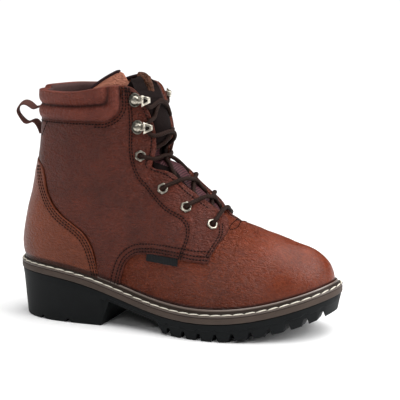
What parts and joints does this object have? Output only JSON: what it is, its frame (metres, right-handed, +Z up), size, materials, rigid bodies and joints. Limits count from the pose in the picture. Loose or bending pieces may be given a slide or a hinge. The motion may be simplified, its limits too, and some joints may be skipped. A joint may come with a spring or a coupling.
{
  "type": "work boot",
  "caption": "Ankle-high lace-up work boot of pebbled leather with padded collar, heel counter, eyelets, speed hooks and a stitched lug sole with a tall heel; right foot.",
  "frame": {"origin": "centre of the boot's box in plan, on the plane its heel and forefoot stand on", "axes": "+X toward the toe, +Y toward the medial side, +Z up"},
  "size_m": [0.3146, 0.1184, 0.2317],
  "materials": {
    "leather": "pebbled red-brown leather, semi-matt",
    "counter_leather": "smoother orange-brown leather, semi-matt",
    "collar_leather": "soft wrinkled leather over foam",
    "wing_leather": "thin light brown gusset leather",
    "tongue_webbing": "ribbed purple-brown webbing",
    "outsole_rubber": "black moulded rubber, matt",
    "midsole_rubber": "grey-brown rubber sheet",
    "welt_rubber": "grey-brown welt with a bead",
    "insole_fabric": "dark woven footbed cover",
    "lace_cord": "dark brown braided cord",
    "loop_webbing": "brown woven strap",
    "tab_webbing": "black woven tab, blank",
    "nickel": "antique nickel plate"
  },
  "bodies": {
    "root": {"outsole": "outsole_rubber", "midsole": "midsole_rubber", "welt": "welt_rubber", "insole": "insole_fabric", "upper": "leather", "tongue": "tongue_webbing", "quarter_lateral": "leather", "quarter_medial": "leather", "heel_counter": "counter_leather", "collar_pad": "collar_leather", "wing_lateral": "wing_leather", "wing_medial": "wing_leather", "side_tab": "tab_webbing", "pull_loop": "loop_webbing", "eyelet_lateral_1": "nickel", "eyelet_lateral_2": "nickel", "eyelet_lateral_3": "nickel", "eyelet_lateral_4": "nickel", "hook_lateral_1": "nickel", "hook_lateral_2": "nickel", "eyelet_medial_1": "nickel", "eyelet_medial_2": "nickel", "eyelet_medial_3": "nickel", "eyelet_medial_4": "nickel", "hook_medial_1": "nickel", "hook_medial_2": "nickel", "lace_1": "lace_cord", "lace_2": "lace_cord", "lace_3": "lace_cord", "lace_4": "lace_cord", "lace_5": "lace_cord"}
  },
  "joints": []
}
